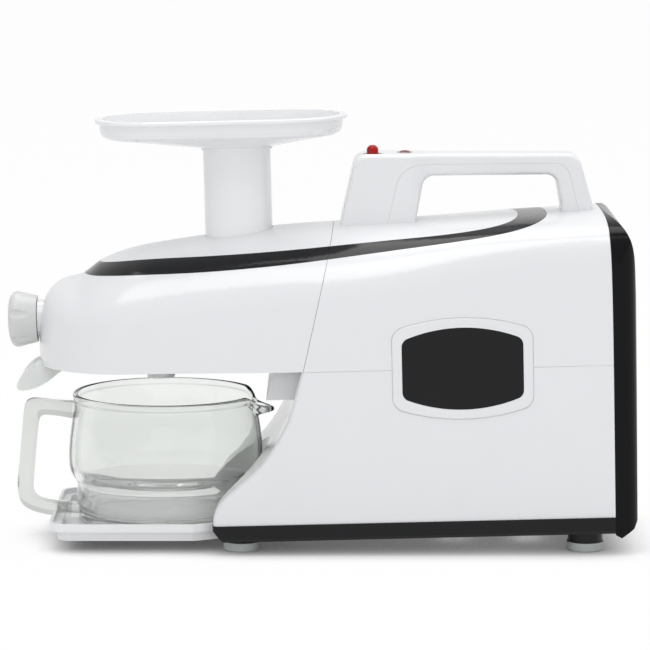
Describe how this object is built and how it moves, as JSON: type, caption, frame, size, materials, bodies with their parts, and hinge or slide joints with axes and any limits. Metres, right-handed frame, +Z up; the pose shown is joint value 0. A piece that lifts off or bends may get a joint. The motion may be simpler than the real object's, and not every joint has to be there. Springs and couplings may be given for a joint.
{
  "type": "cold press juicer",
  "caption": "Horizontal cold press juicer: lean motor housing with carrying handle, juicing head with chute and tray, glass jug on a drip tray.",
  "frame": {"origin": "middle of the overall box, on the surface that the feet stand on", "axes": "+X from the outlet knob to the rear cover, +Y to the side away from the side plate, +Z up"},
  "size_m": [0.4889, 0.176, 0.3336],
  "materials": {
    "gloss_white": "gloss",
    "gloss_black": "gloss",
    "satin_black": "satin",
    "rubber_grey": "matte",
    "rest_grey": "satin",
    "seal_grey": "matte",
    "gear_steel": "satin",
    "screen_steel": "satin",
    "shaft_steel": "turned",
    "cast_aluminium": "as cast",
    "bearing_bronze": "sintered",
    "pin_brass": "plated",
    "stator_steel": "laminated",
    "copper_windings": "varnished copper",
    "fan_nylon": "matte",
    "gear_nylon": "satin",
    "translucent_white": "satin translucent",
    "red_plastic": "gloss",
    "dark_red_plastic": "gloss",
    "capacitor_case": "matte",
    "screw_steel": "zinc plated",
    "clear_glass": "clear"
  },
  "bodies": {
    "machine": {"lower_housing": "gloss_white", "hood_rest": "rest_grey", "base_pan": "gloss_black", "front_foot_pads": "rubber_grey", "front_foot_stems": "satin_black", "rear_foot_pads": "rubber_grey", "rear_foot_stems": "satin_black", "upper_housing": "gloss_white", "body_band": "gloss_black", "side_plate_rim": "gloss_white", "side_plate": "gloss_black", "bulkhead": "satin_black", "output_bearing": "bearing_bronze", "rear_cover": "gloss_black", "inlet_socket": "satin_black", "inlet_pins": "pin_brass", "handle_cover": "gloss_white", "handle_grip": "gloss_white", "switch_body": "satin_black", "breaker_body": "satin_black", "gearbox_case": "cast_aluminium", "gearbox_cover": "cast_aluminium", "layshaft_pin": "shaft_steel", "motor_stator": "stator_steel", "motor_windings": "copper_windings", "front_end_bell": "cast_aluminium", "rear_end_bell": "cast_aluminium", "motor_cradle": "cast_aluminium", "run_capacitor": "capacitor_case", "capacitor_saddle": "satin_black", "base_screws": "screw_steel", "cover_screws": "screw_steel", "handle_screws": "screw_steel"},
    "juicing_head": {"hood": "gloss_white", "hood_band": "gloss_black", "extraction_housing": "gloss_white", "fine_screen": "screen_steel", "pulp_casing": "gloss_white", "pulp_spout": "translucent_white", "housing_seal": "seal_grey"},
    "feed_tray": {"feed_tray": "gloss_white"},
    "outlet_knob": {"outlet_knob": "gloss_white"},
    "drive_gear": {"drive_gear": "gear_steel"},
    "driven_gear": {"driven_gear": "gear_steel"},
    "output": {"output_shaft": "shaft_steel", "output_gear": "gear_steel"},
    "intermediate_gear": {"intermediate_gear": "gear_nylon"},
    "motor_rotor": {"motor_rotor": "shaft_steel", "motor_pinion": "shaft_steel", "cooling_fan": "fan_nylon"},
    "power_lever": {"power_lever": "red_plastic"},
    "reset_button": {"reset_button": "dark_red_plastic"},
    "drip_tray": {"drip_tray": "gloss_white"},
    "jug": {"jug": "clear_glass"}
  },
  "joints": [
    {"name": "head_slide", "type": "slide", "parent": "machine", "child": "juicing_head", "axis": [-0.9997, 0, -0.0236], "range_m": [0, 0.2]},
    {"name": "tray_lift", "type": "slide", "parent": "juicing_head", "child": "feed_tray", "axis": [-0.0236, 0, 0.9997], "range_m": [0, 0.08]},
    {"name": "knob_turn", "type": "hinge", "parent": "juicing_head", "child": "outlet_knob", "pos_m": [-0.22577, 0, 0.17207], "axis": [-0.9997, 0, -0.0236], "range_deg": [-90, 90]},
    {"name": "output_spin", "type": "hinge", "parent": "machine", "child": "output", "pos_m": [0.01417, -0.018, 0.17772], "axis": [0.9997, 0, 0.0236], "continuous": true},
    {"name": "intermediate_spin", "type": "hinge", "parent": "machine", "child": "intermediate_gear", "pos_m": [0.04522, -0.018, 0.13344], "axis": [0.9997, 0, 0.0236], "continuous": true},
    {"name": "motor_spin", "type": "hinge", "parent": "machine", "child": "motor_rotor", "pos_m": [0.11626, -0.018, 0.0901], "axis": [0.9997, 0, 0.0236], "continuous": true},
    {"name": "drive_gear_spin", "type": "hinge", "parent": "juicing_head", "child": "drive_gear", "pos_m": [-0.1058, -0.018, 0.17489], "axis": [0.9997, 0, 0.0236], "continuous": true},
    {"name": "driven_gear_spin", "type": "hinge", "parent": "juicing_head", "child": "driven_gear", "pos_m": [-0.1058, 0.018, 0.17489], "axis": [0.9997, 0, 0.0236], "continuous": true},
    {"name": "lever_tilt", "type": "hinge", "parent": "machine", "child": "power_lever", "pos_m": [0.04135, -0.0115, 0.28909], "axis": [0, 1, 0], "range_deg": [-10, 10]},
    {"name": "reset_press", "type": "slide", "parent": "machine", "child": "reset_button", "axis": [0.0236, 0, -0.9997], "range_m": [0, 0.0016], "stiffness_N_per_m": 1200},
    {"name": "drip_tray_slide", "type": "slide", "parent": "machine", "child": "drip_tray", "axis": [-1, 0, 0], "range_m": [0, 0.2]},
    {"name": "jug_lift", "type": "slide", "parent": "drip_tray", "child": "jug", "axis": [0, 0, 1], "range_m": [0, 0.002]}
  ],
  "couplings": [
    {"joint": "intermediate_spin", "follows": "output_spin", "ratio": -3},
    {"joint": "motor_spin", "follows": "output_spin", "ratio": 15},
    {"joint": "drive_gear_spin", "follows": "output_spin", "ratio": 1},
    {"joint": "driven_gear_spin", "follows": "output_spin", "ratio": -1}
  ]
}
